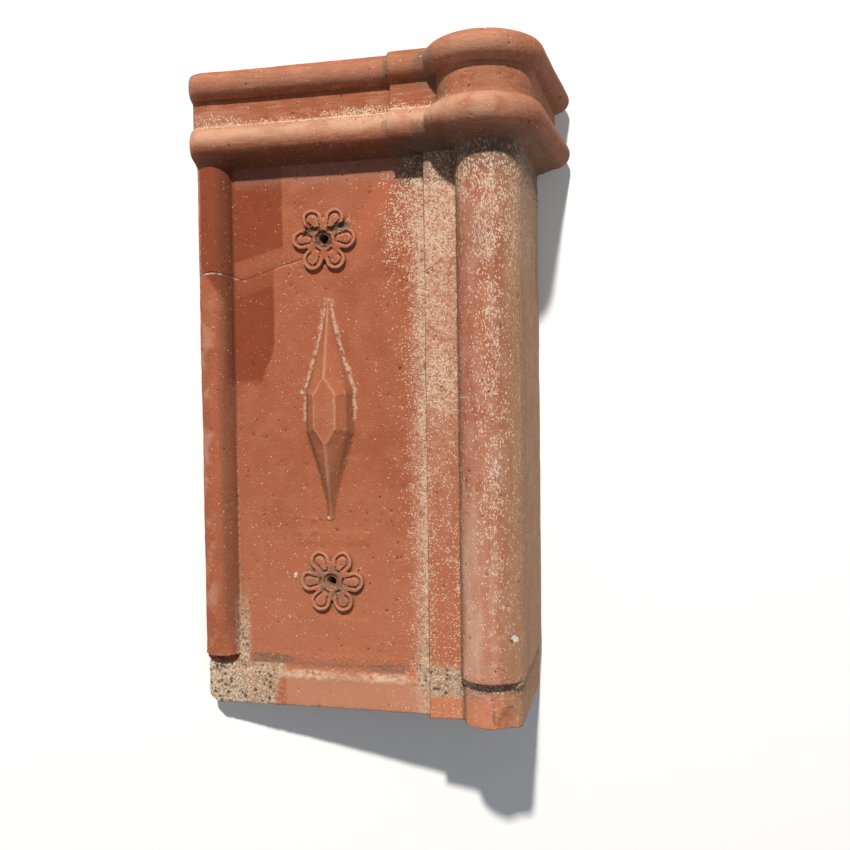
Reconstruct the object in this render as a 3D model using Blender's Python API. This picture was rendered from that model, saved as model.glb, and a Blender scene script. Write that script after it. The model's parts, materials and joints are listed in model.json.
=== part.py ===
"""Verge tile for a roof of Marseille tiles, one piece of fired clay, lying face up on its two long edges.

The face is a flat panel between a half-round bead and a big roll. Past the roll the tile turns down into
a wing, which covers the verge. A collar of two mouldings at its lower end covers the spigot of the next
tile down the roof.
The shape is worked out in the frame of the face: X across it from the bead, Y along it from the spigot,
Z out of the panel. An empty then tilts it until both long edges lie on the ground. Sizes are in metres.
"""
import math

import bmesh
import bpy

# Body of the tile
LENGTH = 0.370
WIDTH = 0.193
WALL = 0.012
WING_DEPTH = 0.072
REST_FLAT = 0.0027
UNDER_STEP = 0.004
UNDER_SLOPE = 0.008

# Face, from the left edge to the roll
BEAD_WIDTH = 0.021
BEAD_HEIGHT = 0.009
PANEL_WIDTH = 0.117
STRIP_HEIGHT = 0.0075
ROLL_RADIUS = 0.018
ROLL_LIFT = 0.008

# Spigot, which lies under the collar of the next tile up the roof
BEAD_END = 0.029
ROLL_END = 0.0255
BAND_LENGTH = 0.0175
BAND_HEIGHT = 0.0015
SPIGOT_INSET = 0.0015
SPIGOT_DROP = 0.006

# Collar and its two mouldings
COLLAR_LENGTH = 0.0525
COLLAR_PROUD = 0.018
COLLAR_RECESS = 0.010
LOWER_RADIUS = 0.009
UPPER_RADIUS = 0.008
LOWER_SKIRT = 0.003
COLLAR_BEAD_HEIGHT = 0.0008
COLLAR_STEP_SHIFT = 0.0165
COLLAR_SHIFT_HEIGHT = 0.009
COLLAR_STRIP_LOSS = 0.0025
COLLAR_EDGE_ROUND = 0.008
COLLAR_LEAN = 0.004
COLLAR_FLARE = 0.0065
SOCKET_CLEARANCE = 0.0015

# Nail holes and the rosettes round them
NAIL_HOLE = 0.0055
NAIL_SEAT = 0.0095
NAIL_SEAT_DEPTH = 0.0015
ROSETTE_FROM_SPIGOT = 0.0747
ROSETTE_FROM_COLLAR = 0.0449
UPPER_ROSETTE_SHIFT = 0.0016
ROSETTE_HEIGHT = 0.0029
PETALS = 6
PETAL_REACH = 0.0192
PETAL_WIDTH = 0.0116
PETAL_NOTCH = 0.0098
PETAL_RIM = 0.0017
PETAL_GROOVE = 0.0014
PETAL_GROOVE_DEPTH = 0.0017
PETAL_ROOT = 0.0062
PETAL_TAPER = 0.45

# Pointed lozenge between the rosettes
LOZENGE_LENGTH = 0.1268
LOZENGE_WIDTH = 0.029
LOZENGE_SIDE = 0.0258
LOZENGE_TIER_WIDTH = 0.0227
LOZENGE_TIER_SIDE = 0.0216
LOZENGE_TIER_HEIGHT = 0.006
LOZENGE_TOP_WIDTH = 0.013
LOZENGE_TOP_SIDE = 0.0194
LOZENGE_TOP_LENGTH = 0.0385
LOZENGE_HEIGHT = 0.011
LOZENGE_TAPER = 1.35
LOZENGE_TIP = 0.08
LOZENGE_ROWS = 5

# Corner lost from the spigot
CHIP_ALONG = 0.006
CHIP_ACROSS = 0.005

# Limits of the mesh
EDGE = 0.0005
SUNK = 0.002
ARC_STEPS = 10
ROLL_STEPS = 18
HOLE_STEPS = 24
TILE_NAME = "verge_tile"

# Places that follow from the sizes
STEP_X = BEAD_WIDTH + PANEL_WIDTH
ROLL_X = WIDTH - ROLL_RADIUS
PANEL_MIDDLE = BEAD_WIDTH + PANEL_WIDTH / 2
COLLAR_START = LENGTH - COLLAR_LENGTH
SOCKET_START = LENGTH - BEAD_END - SOCKET_CLEARANCE
ROSETTES_X = (PANEL_MIDDLE, PANEL_MIDDLE - UPPER_ROSETTE_SHIFT)
ROSETTES_Y = (ROSETTE_FROM_SPIGOT, COLLAR_START - ROSETTE_FROM_COLLAR)
REST_ANGLE = math.atan2(WING_DEPTH - WALL, WIDTH - WALL)
FLAT_X = REST_FLAT * math.cos(REST_ANGLE)
FLAT_Z = REST_FLAT * math.sin(REST_ANGLE)


def arc(centre, half, rise, start, end, steps):
    """Points of an elliptical arc about a centre, from one angle to another."""
    points = []
    for i in range(steps + 1):
        angle = start + (end - start) * i / steps
        points.append((centre[0] + half * math.cos(angle), centre[1] + rise * math.sin(angle)))
    return points


def plain_hollow():
    """Underside of the body from the wing's free edge back to the left edge, one wall below the face."""
    wing = WIDTH - WALL
    inner = ROLL_RADIUS - WALL
    strip = STRIP_HEIGHT - WALL
    points = [(wing + FLAT_X, -WING_DEPTH), (wing, -WING_DEPTH + FLAT_Z)]
    points += arc((ROLL_X, ROLL_LIFT), inner, inner, 0, math.pi, ROLL_STEPS)
    slope = STEP_X + UNDER_STEP
    points += [(ROLL_X - inner, strip), (slope + UNDER_SLOPE, strip), (slope, -WALL)]
    points += [(FLAT_X, -WALL), (0, -WALL + FLAT_Z)]
    return points


def socket_hollow():
    """Underside of the collar, which clears the spigot that it covers and is open at the left edge."""
    half = ROLL_RADIUS - SPIGOT_INSET + SOCKET_CLEARANCE
    rise = ROLL_RADIUS - SPIGOT_DROP + SOCKET_CLEARANCE
    strip = STRIP_HEIGHT + SOCKET_CLEARANCE
    panel = BAND_HEIGHT + SOCKET_CLEARANCE
    side = STEP_X - SOCKET_CLEARANCE
    wing = ROLL_X + half
    end = math.pi - math.asin((strip - ROLL_LIFT) / rise)
    points = [(wing + FLAT_X, -WING_DEPTH), (wing, -WING_DEPTH + FLAT_Z)]
    points += arc((ROLL_X, ROLL_LIFT), half, rise, 0, end, ROLL_STEPS)
    points += [((points[-1][0] + side) / 2, strip), (side, strip), (side - EDGE, panel)]
    points += [(FLAT_X, panel), (0, panel + FLAT_Z)]
    return points


def section(bead=BEAD_HEIGHT, edge_round=0.0, panel=0.0, step=STEP_X, strip=STRIP_HEIGHT, half=ROLL_RADIUS,
            rise=ROLL_RADIUS, inset=0.0, lean=0.0, flare=0.0, hollow=None):
    """Closed cross-section: over the bead, panel, strip and roll, down the wing and back underneath."""
    hollow = hollow or plain_hollow()
    edge = panel - edge_round
    middle = (BEAD_WIDTH + inset) / 2
    valley = math.pi - math.asin((strip - ROLL_LIFT) / rise)
    points = [(inset, (hollow[-1][1] + edge) / 2)]
    points += arc((middle, edge), middle - inset, bead + edge_round, math.pi, math.pi / 2, ARC_STEPS // 2)
    points += arc((middle, panel), BEAD_WIDTH - middle, bead, math.pi / 2, 0, ARC_STEPS // 2)[1:]
    points += [(step, panel), (step, strip)]
    points += arc((ROLL_X, ROLL_LIFT), half, rise, valley, math.pi / 2, ROLL_STEPS // 2)
    points += arc((ROLL_X, ROLL_LIFT), half - lean, rise, math.pi / 2, 0, ROLL_STEPS // 2)[1:]
    points.append((ROLL_X + half - lean + flare, -WING_DEPTH))
    return points + hollow


def spigot_section(panel):
    """Cross-section of the spigot: no bead, a smaller roll, and the sides drawn in."""
    return section(bead=0.0, panel=panel, half=ROLL_RADIUS - SPIGOT_INSET,
                   rise=ROLL_RADIUS - SPIGOT_DROP, inset=SPIGOT_INSET)


def collar_section(proud, socket):
    """Cross-section of the collar where its face stands this far above the body's."""
    share = proud / COLLAR_PROUD
    return section(bead=BEAD_HEIGHT + (COLLAR_BEAD_HEIGHT - BEAD_HEIGHT) * min(1, proud / COLLAR_RECESS),
                   edge_round=COLLAR_EDGE_ROUND * share,
                   panel=proud,
                   step=STEP_X - COLLAR_STEP_SHIFT * min(1, proud / COLLAR_SHIFT_HEIGHT),
                   strip=STRIP_HEIGHT + proud - COLLAR_STRIP_LOSS * share,
                   half=ROLL_RADIUS + proud,
                   rise=ROLL_RADIUS + proud,
                   lean=COLLAR_LEAN * share,
                   flare=COLLAR_FLARE * share,
                   hollow=socket_hollow() if socket else plain_hollow())


def collar_profile():
    """Stations along the collar from its foot to its mouth, each with its height above the body's face."""
    lower_y = COLLAR_START + LOWER_SKIRT + LOWER_RADIUS
    upper_y = LENGTH - UPPER_RADIUS
    lower_z = COLLAR_PROUD - LOWER_RADIUS
    upper_z = COLLAR_PROUD - UPPER_RADIUS
    meet = math.asin((COLLAR_RECESS - lower_z) / LOWER_RADIUS)
    profile = arc((lower_y, lower_z), LOWER_RADIUS, LOWER_RADIUS, math.pi, meet, ARC_STEPS)
    profile.append((SOCKET_START, COLLAR_RECESS))
    profile.append((SOCKET_START + EDGE, COLLAR_RECESS))
    profile.append((upper_y - UPPER_RADIUS - EDGE, COLLAR_RECESS))
    profile += arc((upper_y, upper_z), UPPER_RADIUS, UPPER_RADIUS, math.pi, 0, ARC_STEPS)
    return profile


def tile_stations():
    """Cross-sections of the whole tile, each with its place along the length, spigot first."""
    no_bead = section(bead=0.0)
    stations = [(0.0, spigot_section(BAND_HEIGHT)),
                (BAND_LENGTH, spigot_section(BAND_HEIGHT)),
                (ROLL_END, spigot_section(0.0)),
                (ROLL_END + EDGE, no_bead),
                (BEAD_END, no_bead),
                (BEAD_END + EDGE, section()),
                (COLLAR_START, section())]
    for y, proud in collar_profile():
        stations.append((y, collar_section(proud, socket=y > SOCKET_START)))
    return stations


def new_object(name, mesh, collection):
    """Object of a mesh in a collection."""
    thing = bpy.data.objects.new(name, mesh)
    collection.objects.link(thing)
    return thing


def loft(name, stations, collection):
    """Closed solid through cross-sections that have as many points as each other."""
    bm = bmesh.new()
    rings = []
    for y, points in stations:
        rings.append([bm.verts.new((x, y, z)) for x, z in points])
    for near, far in zip(rings, rings[1:]):
        for i in range(len(near)):
            j = (i + 1) % len(near)
            bm.faces.new((near[i], near[j], far[j], far[i]))
    bm.faces.new(rings[0])
    bm.faces.new(rings[-1])
    bmesh.ops.recalc_face_normals(bm, faces=bm.faces)
    mesh = bpy.data.meshes.new(name)
    bm.to_mesh(mesh)
    bm.free()
    return new_object(name, mesh, collection)


def plate(name, outlines, low, high, collection):
    """Flat solid between two levels, from closed outlines; an outline inside another is a hole."""
    curve = bpy.data.curves.new(name, "CURVE")
    curve.dimensions = "2D"
    curve.fill_mode = "BOTH"
    curve.extrude = (high - low) / 2
    for outline in outlines:
        spline = curve.splines.new("POLY")
        spline.points.add(len(outline) - 1)
        for point, (x, y) in zip(spline.points, outline):
            point.co = (x, y, 0, 1)
        spline.use_cyclic_u = True
    drawn = new_object(name + "_outline", curve, collection)
    drawn.location.z = (low + high) / 2
    bpy.context.view_layer.update()
    evaluated = drawn.evaluated_get(bpy.context.evaluated_depsgraph_get())
    mesh = bpy.data.meshes.new_from_object(evaluated)
    bm = bmesh.new()
    bm.from_mesh(mesh)
    bmesh.ops.remove_doubles(bm, verts=bm.verts, dist=0.00001)
    bmesh.ops.recalc_face_normals(bm, faces=bm.faces)
    bm.to_mesh(mesh)
    bm.free()
    mesh.shade_flat()
    solid = new_object(name, mesh, collection)
    solid.matrix_world = drawn.matrix_world.copy()
    bpy.data.objects.remove(drawn)
    return solid


def petal_outline(centre, angle, half_width, near, far):
    """Petal with a round end and a narrow root, pointing out from a centre, between two distances from it."""
    outline = arc((far - half_width, 0), half_width, half_width, -math.pi / 2, math.pi / 2, ARC_STEPS)
    outline += [(near, half_width * PETAL_TAPER), (near, -half_width * PETAL_TAPER)]
    turned = []
    for x, y in outline:
        turned.append((centre[0] + x * math.cos(angle) - y * math.sin(angle),
                       centre[1] + x * math.sin(angle) + y * math.cos(angle)))
    return turned


def rosette_outline(centre):
    """Edge of a rosette: round petal ends with a notch between each two."""
    radius = PETAL_WIDTH / 2
    reach = PETAL_REACH - radius
    outline = []
    for k in range(PETALS):
        angle = 2 * math.pi * k / PETALS
        end = (centre[0] + reach * math.cos(angle), centre[1] + reach * math.sin(angle))
        outline += arc(end, radius, radius, angle - math.pi / 2, angle + math.pi / 2, ARC_STEPS)
        notch = angle + math.pi / PETALS
        outline.append((centre[0] + PETAL_NOTCH * math.cos(notch), centre[1] + PETAL_NOTCH * math.sin(notch)))
    return outline


def make_rosette(name, centre, collection):
    """Raised rosette, and the cutter of the grooves that leave a rim and a tongue in each petal."""
    raised = plate(name, [rosette_outline(centre)], -SUNK, ROSETTE_HEIGHT, collection)
    groove = PETAL_WIDTH / 2 - PETAL_RIM
    tongue = groove - PETAL_GROOVE
    end = PETAL_REACH - PETAL_RIM
    grooves = []
    for k in range(PETALS):
        angle = 2 * math.pi * k / PETALS
        grooves.append(petal_outline(centre, angle, groove, PETAL_ROOT, end))
        grooves.append(petal_outline(centre, angle, tongue, PETAL_ROOT + PETAL_GROOVE, end - PETAL_GROOVE))
    floor = ROSETTE_HEIGHT - PETAL_GROOVE_DEPTH
    cutter = plate(name + "_grooves", grooves, floor, ROSETTE_HEIGHT + SUNK, collection)
    return raised, cutter


def lozenge_taper(y, side, power):
    """Share of a lozenge's full measure at a distance from its middle: full beside, least at the tip."""
    reach = LOZENGE_LENGTH / 2
    left = min(1, (reach - abs(y)) / (reach - side / 2))
    return LOZENGE_TIP + (1 - LOZENGE_TIP) * left ** power


def lozenge_row(y):
    """Cross-section of the lozenge at a distance from its middle: base, tier and top."""
    crown = LOZENGE_TOP_LENGTH / 2
    height = lozenge_taper(y, LOZENGE_TOP_LENGTH, 1)
    inner = lozenge_taper(y, LOZENGE_TIER_SIDE, LOZENGE_TAPER)
    point = (crown - abs(y)) / (crown - LOZENGE_TOP_SIDE / 2)
    base = LOZENGE_WIDTH / 2 * lozenge_taper(y, LOZENGE_SIDE, LOZENGE_TAPER)
    tier = LOZENGE_TIER_WIDTH / 2 * inner
    top = max(EDGE / 2, LOZENGE_TOP_WIDTH / 2 * min(1, point))
    shelf = LOZENGE_TIER_HEIGHT * min(inner, height)
    half = [(base, -SUNK), (base, 0.0), (tier, shelf), (top, LOZENGE_HEIGHT * height)]
    return [(PANEL_MIDDLE + x, z) for x, z in half] + [(PANEL_MIDDLE - x, z) for x, z in reversed(half)]


def make_lozenge(collection):
    """Long lozenge in two tiers with a flat six-sided top, its ends drawn out to points."""
    reach = LOZENGE_LENGTH / 2
    crown = LOZENGE_TOP_LENGTH / 2
    rows = [LOZENGE_TOP_SIDE / 2, LOZENGE_TIER_SIDE / 2, LOZENGE_SIDE / 2]
    rows += [crown + (reach - crown) * k / LOZENGE_ROWS for k in range(LOZENGE_ROWS + 1)]
    middle = sum(ROSETTES_Y) / 2
    distances = [-y for y in reversed(rows)] + rows
    return loft("lozenge", [(middle + y, lozenge_row(y)) for y in distances], collection)


def round_cutter(name, centre, width, low, high, collection):
    """Upright cylinder between two levels."""
    bm = bmesh.new()
    bmesh.ops.create_cone(bm, cap_ends=True, segments=HOLE_STEPS, radius1=width / 2, radius2=width / 2,
                          depth=high - low)
    mesh = bpy.data.meshes.new(name)
    bm.to_mesh(mesh)
    bm.free()
    cutter = new_object(name, mesh, collection)
    cutter.location = (centre[0], centre[1], (low + high) / 2)
    return cutter


def nail_cutters(number, centre, collection):
    """Nail hole through the tile, and the shallow seat for the nail's head round it."""
    top = ROSETTE_HEIGHT + SUNK
    hole = round_cutter(f"nail_hole_{number}", centre, NAIL_HOLE, -WALL - SUNK, top, collection)
    shelf = ROSETTE_HEIGHT - NAIL_SEAT_DEPTH
    seat = round_cutter(f"nail_seat_{number}", centre, NAIL_SEAT, shelf, top, collection)
    return [hole, seat]


def make_chip_cutter(collection):
    """Wedge that breaks the left corner off the end of the spigot."""
    reach = SPIGOT_INSET - SUNK
    outline = [(reach, CHIP_ALONG), (reach, -SUNK), (SPIGOT_INSET + CHIP_ACROSS, -SUNK),
               (SPIGOT_INSET + CHIP_ACROSS, 0.0)]
    return plate("corner_chip", [outline], -WALL - SUNK, BAND_HEIGHT + SUNK, collection)


def fired_clay():
    """Matt red clay, dry and weathered."""
    material = bpy.data.materials.new("fired_clay")
    material.use_nodes = True
    shader = material.node_tree.nodes["Principled BSDF"]
    shader.inputs["Base Color"].default_value = (0.44, 0.15, 0.08, 1)
    shader.inputs["Roughness"].default_value = 0.9
    shader.inputs["Metallic"].default_value = 0.0
    return material


def apply_boolean(thing, tool, operation):
    """Joins a tool to the tile or cuts it away, and hides the tool."""
    modifier = thing.modifiers.new(operation.lower() + "_" + tool.name, "BOOLEAN")
    modifier.operation = operation
    modifier.object = tool
    tool.hide_render = True
    tool.display_type = "WIRE"


def lay_down(tile, things):
    """Tilts the tile onto its long edges, with the origin under the middle of its box."""
    rest = bpy.data.objects.new("rest_pose", None)
    tile.users_collection[0].objects.link(rest)
    across = [v.co.x * math.cos(REST_ANGLE) - v.co.z * math.sin(REST_ANGLE) for v in tile.data.vertices]
    height = [v.co.x * math.sin(REST_ANGLE) + v.co.z * math.cos(REST_ANGLE) for v in tile.data.vertices]
    rest.rotation_euler.y = -REST_ANGLE
    rest.location = (-(min(across) + max(across)) / 2, -LENGTH / 2, -min(height))
    for thing in things:
        thing.parent = rest


def main():
    for old in list(bpy.data.objects):
        bpy.data.objects.remove(old)
    parts = bpy.data.collections.new("verge_roof_tile")
    tools = bpy.data.collections.new("tools")
    bpy.context.scene.collection.children.link(parts)
    bpy.context.scene.collection.children.link(tools)

    tile = loft(TILE_NAME, tile_stations(), parts)
    tile.data.materials.append(fired_clay())
    added = [make_lozenge(tools)]
    cut = [make_chip_cutter(tools)]
    for number, centre in enumerate(zip(ROSETTES_X, ROSETTES_Y), 1):
        raised, grooves = make_rosette(f"rosette_{number}", centre, tools)
        added.append(raised)
        cut.append(grooves)
        cut += nail_cutters(number, centre, tools)
    for tool in added:
        apply_boolean(tile, tool, "UNION")
    for tool in cut:
        apply_boolean(tile, tool, "DIFFERENCE")
    lay_down(tile, [tile] + added + cut)
    tile.data.shade_smooth()
    tile.data.set_sharp_from_angle(angle=math.radians(30))


main()
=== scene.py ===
# %% [markdown]
# # A weathered verge tile
# A verge tile closes the side of a roof of Marseille tiles. It is pressed from one lump of clay and fired,
# so it is one piece, and this lesson dresses it as one piece. The plain solid comes from the frame at its
# true size. What is added here is what long years outdoors add: softened arrises, chips, a crack, lichen
# and dirt.

# %% Load the frame
import json
import math
import random

import bpy
import numpy as np
from mathutils import Matrix, Vector


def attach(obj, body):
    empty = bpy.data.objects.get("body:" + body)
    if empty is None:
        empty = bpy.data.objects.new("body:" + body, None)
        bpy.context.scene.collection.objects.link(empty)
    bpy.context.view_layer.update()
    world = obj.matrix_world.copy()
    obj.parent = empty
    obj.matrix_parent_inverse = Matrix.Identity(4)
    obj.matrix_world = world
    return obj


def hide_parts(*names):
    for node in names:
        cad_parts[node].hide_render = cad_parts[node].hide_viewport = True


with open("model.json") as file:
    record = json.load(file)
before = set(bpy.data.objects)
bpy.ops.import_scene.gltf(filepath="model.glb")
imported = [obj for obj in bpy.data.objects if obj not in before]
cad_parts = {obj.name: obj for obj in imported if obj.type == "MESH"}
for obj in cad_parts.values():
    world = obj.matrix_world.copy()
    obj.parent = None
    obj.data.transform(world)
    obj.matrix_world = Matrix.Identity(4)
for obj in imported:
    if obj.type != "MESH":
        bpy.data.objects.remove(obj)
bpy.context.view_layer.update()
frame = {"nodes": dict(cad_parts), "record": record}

MM = 0.001
print("nodes in the frame:", list(frame["nodes"]))

# %% [markdown]
# ## The frame of the face
# The tile lies on its two long edges, so its face is tilted. Chips and stains are easier to place on a
# level sheet, so the work is done in the frame of the face: X across it from the bead, Y along it from the
# spigot, Z out of the panel. The record states one point of the underside with its normal, and the frame of
# the face follows from that point.

# %% Find the frame of the face
UNDERSIDE_ON_FACE = Vector((60, 170, -12)) * MM
underside = next(m for m in frame["record"]["mounts"] if m["name"] == "panel_underside")
tilt = math.atan2(underside["axis"][0], -underside["axis"][2])
turn = Matrix.Rotation(-tilt, 4, "Y")
origin = Vector(underside["pos_m"]) - turn @ UNDERSIDE_ON_FACE
face_to_world = Matrix.Translation(origin) @ turn
print(f"the face is tilted {math.degrees(tilt):.2f} degrees")

# %% [markdown]
# ## Camera, floor and light
# The photograph looks almost straight down, from a little past the wing, with the sun beyond the collar.
# The camera keeps that view. A plain pale floor and soft lamps stand in for the yard: a key lamp where the
# sun was, and a wide weak one overhead, so that the mouldings still throw their shadows towards the spigot.

# %% Camera
CAMERA_PLACE = (-0.0318, -0.0040, 0.5892)
CAMERA_TURN = (-1.62, -5.34, -0.77)
FOCAL_SHARE = 950 / 850
SENSOR = 36
camera = bpy.data.cameras.new("camera")
camera.sensor_width = SENSOR
camera.lens = SENSOR * FOCAL_SHARE
camera.clip_start = 0.01
eye = bpy.data.objects.new("camera", camera)
eye.location = CAMERA_PLACE
eye.rotation_euler = [math.radians(a) for a in CAMERA_TURN]
bpy.context.scene.collection.objects.link(eye)
bpy.context.scene.camera = eye
print(f"the camera stands {eye.location.z:.3f} m above the floor")


# %% Lamps
def lamp(name, towards, distance, size, power, colour):
    """Square area lamp that shines at the tile from a direction."""
    light = bpy.data.lights.new(name, "AREA")
    light.size = size
    light.energy = power
    light.color = colour
    thing = bpy.data.objects.new(name, light)
    way = Vector(towards).normalized()
    thing.location = way * distance
    thing.rotation_euler = way.to_track_quat("Z", "Y").to_euler()
    bpy.context.scene.collection.objects.link(thing)


lamp("key_lamp", (-0.175, 0.685, 0.707), distance=5.0, size=0.22, power=328, colour=(1.0, 0.97, 0.93))
lamp("overhead_lamp", (0.3, -0.2, 1.0), distance=2.5, size=1.8, power=7, colour=(0.90, 0.95, 1.0))
sky = bpy.data.worlds.new("studio")
sky.use_nodes = True
sky.node_tree.nodes["Background"].inputs["Color"].default_value = (0.88, 0.93, 1.0, 1)
sky.node_tree.nodes["Background"].inputs["Strength"].default_value = 0.20
bpy.context.scene.world = sky
bpy.context.scene.view_settings.view_transform = "Standard"

# %% Floor
FLOOR_SIZE = 6
bpy.ops.object.select_all(action="DESELECT")
bpy.ops.mesh.primitive_plane_add(size=FLOOR_SIZE)
floor = bpy.context.object
floor.name = "floor"
paper = bpy.data.materials.new("pale_floor")
paper.use_nodes = True
paper.node_tree.nodes["Principled BSDF"].inputs["Base Color"].default_value = (0.92, 0.92, 0.91, 1)
paper.node_tree.nodes["Principled BSDF"].inputs["Roughness"].default_value = 0.9
floor.data.materials.append(paper)
print("floor", floor.dimensions[:])

# %% [markdown]
# ## The clay body
# The solid's mesh has the right form, so a copy of it is the start. Its triangles are loose, so they are
# merged first. Then it is laid level in the frame of the face, where a voxel grid lines up with the panel.


# %% Copy the solid and lay it level
def pick(thing):
    """Makes one object the selected and active one."""
    bpy.ops.object.select_all(action="DESELECT")
    thing.select_set(True)
    bpy.context.view_layer.objects.active = thing


def finish_modifier(thing, kind, **settings):
    """Gives an object a modifier with its settings and applies it."""
    pick(thing)
    modifier = thing.modifiers.new(kind.lower(), kind)
    for setting, value in settings.items():
        setattr(modifier, setting, value)
    bpy.ops.object.modifier_apply(modifier=modifier.name)


def set_down(thing, matrix):
    """Moves an object by a matrix and keeps the move in its mesh."""
    pick(thing)
    thing.matrix_world = matrix @ thing.matrix_world
    bpy.ops.object.transform_apply(location=True, rotation=True, scale=True)


clay = bpy.data.objects.new("verge_tile_clay", frame["nodes"]["verge_tile"].data.copy())
bpy.context.scene.collection.objects.link(clay)
clay.data.materials.clear()
pick(clay)
bpy.ops.object.mode_set(mode="EDIT")
bpy.ops.mesh.select_all(action="SELECT")
bpy.ops.mesh.remove_doubles(threshold=0.01 * MM)
bpy.ops.object.mode_set(mode="OBJECT")
set_down(clay, face_to_world.inverted())
print("merged copy:", len(clay.data.vertices), "points")

# %% [markdown]
# ## Chips, pits and breaks
# Fired clay breaks in shallow shells. A rough pebble is a good knife for that: an ico sphere, flattened,
# with its points moved at random. Many pebbles are placed one by one where the photograph shows damage, and
# a loop strews small ones along the arrises. All are joined, and one Boolean cuts them out together. The
# lists give each pebble's place, its reach along the axes, a seed, and the degrees it leans and turns.


# %% A rough pebble
def pebble(place, size, seed, lean=0.0, spin=0.0):
    """Rough flattened stone, placed on the face in millimetres and leaned with the surface there."""
    bpy.ops.object.select_all(action="DESELECT")
    bpy.ops.mesh.primitive_ico_sphere_add(subdivisions=2, radius=1)
    bpy.ops.object.mode_set(mode="EDIT")
    bpy.ops.transform.vertex_random(offset=0.11, seed=seed, normal=0.7)
    bpy.ops.object.mode_set(mode="OBJECT")
    stone = bpy.context.object
    stone.scale = Vector(size) * MM
    stone.rotation_euler = (0, math.radians(lean), math.radians(spin))
    stone.location = Vector(place) * MM
    bpy.ops.object.transform_apply(location=True, rotation=True, scale=True)
    return stone


def join(name, things):
    """Makes one object of several."""
    bpy.ops.object.select_all(action="DESELECT")
    for thing in things:
        thing.select_set(True)
    bpy.context.view_layer.objects.active = things[0]
    bpy.ops.object.join()
    things[0].name = name
    return things[0]


# %% Damage that the photograph shows
SPIGOT_FLAKE = ((185, 1.0, 20.0), (11.5, 13.5, 5.0), 1, 30, 0)
COLLAR_CHIPS = [((183.8, 322.0, 40.2), (2.6, 1.0, 0.9), 2, 10, 5),
                ((188.7, 322.6, 38.8), (2.4, 1.2, 0.9), 3, 25, 0),
                ((193.0, 322.4, 35.4), (1.6, 0.8, 0.8), 4, 35, 0),
                ((179.5, 322.6, 41.2), (1.3, 0.7, 0.7), 5, 0, 0)]
LIME_CRATERS = [((187.6, 49.9, 21.4), (2.6, 3.0, 1.1), 6, 45, 0),
                ((126.5, 281.7, 0.4), (1.6, 1.9, 1.3), 7, 0, 0),
                ((62.2, 185.2, 0.3), (2.0, 2.2, 0.9), 8, 0, 25),
                ((209.4, 356.6, -47.0), (1.1, 1.9, 2.2), 9, 0, 0)]
PITS = [(31.4, 37.6), (59.6, 30.0), (69.6, 33.4), (76.5, 39.7), (87.5, 37.2), (91.3, 44.4), (114.7, 40.2),
        (125.9, 37.8), (131.1, 35.2), (35.5, 271.5), (51.5, 260.8), (128.9, 291.7), (131.3, 215.5),
        (100.0, 110.0), (43.0, 90.0), (48.0, 57.0), (106.0, 62.0), (34.0, 150.0)]
STRIP_PITS = [(152.1, 268.0), (143.4, 212.6), (147.0, 96.0), (141.0, 48.0)]
PANEL_LEVEL = 0.2
STRIP_LEVEL = 7.7
knives = [pebble(*SPIGOT_FLAKE)]
knives += [pebble(*chip) for chip in COLLAR_CHIPS + LIME_CRATERS]
dice = random.Random(7)
for number, (x, y) in enumerate(PITS):
    size = (dice.uniform(0.6, 1.1), dice.uniform(0.6, 1.1), 0.9)
    knives.append(pebble((x, y, PANEL_LEVEL), size, 20 + number))
for number, (x, y) in enumerate(STRIP_PITS):
    size = (dice.uniform(0.7, 1.2), dice.uniform(0.8, 1.6), 1.0)
    knives.append(pebble((x, y, STRIP_LEVEL), size, 50 + number))
print(len(knives), "knives for the damage in the photograph")

# %% [markdown]
# The upper rosette has lost the clay beside its side petals, down to the panel. Short trenches do that: a
# run of pebbles between two points, each a little apart from the last.


# %% Broken grooves of the upper rosette
GAP_SHARE = 0.45


def trench(start, end, width, low, high, seed):
    """Row of pebbles from one point of the face to another, from a low to a high level."""
    count = max(2, round((end - start).length / (width * GAP_SHARE)))
    stones = []
    for number in range(count + 1):
        middle = start.lerp(end, number / count)
        wide = width / 2 * dice.uniform(0.85, 1.15)
        place = (middle.x, middle.y, (low + high) / 2)
        stones.append(pebble(place, (wide, wide, (high - low) / 2), seed + number))
    return stones


UPPER_ROSETTE = Vector((77.9, 272.6))
BREAKS = [((3.0, 5.0), (8.6, 6.4), 2.6), ((8.6, 6.4), (13.8, 8.6), 2.4),
          ((-4.6, 5.2), (-8.6, 5.4), 2.6), ((-8.6, 5.4), (-12.6, 2.0), 2.2), ((-8.4, 5.6), (-9.6, 9.2), 2.2)]
for number, (start, end, width) in enumerate(BREAKS):
    start, end = [UPPER_ROSETTE + Vector(point) for point in (start, end)]
    knives += trench(start, end, width, low=0.4, high=5.0, seed=60 + 10 * number)
print(len(knives), "knives with the broken grooves")

# %% Chips along the arrises
ARRISES = [("spigot end", (3, 0.0, 1.7), (136, 0.0, 1.7), 14, 1.1),
           ("strip end", (139, 0.0, 7.6), (157, 0.0, 7.6), 4, 0.9),
           ("left edge", (0.4, 40, 3.0), (0.4, 310, 3.0), 16, 1.0),
           ("strip arris", (138, 10, 7.4), (138, 310, 7.4), 26, 0.6),
           ("collar mouth", (12, 370, 10), (118, 370, 10), 7, 1.2),
           ("wing edge", (193.5, 30, -71), (193.5, 310, -71), 12, 1.6)]
for name, start, end, count, reach in ARRISES:
    for number in range(count):
        place = Vector(start).lerp(Vector(end), (number + dice.random()) / count)
        size = [reach * dice.uniform(0.4, 1.1) for _ in range(3)]
        knives.append(pebble(place, size, dice.randrange(1000)))
print(len(knives), "knives with the chips")

# %% [markdown]
# A crack runs over the bead and across the panel to the upper rosette, and thin seams lie where the strip
# meets the panel and where the mouldings of the collar meet. The knife for a crack is a ribbon: one edge is
# extruded point by point along it, and Solidify gives it a width.

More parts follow.
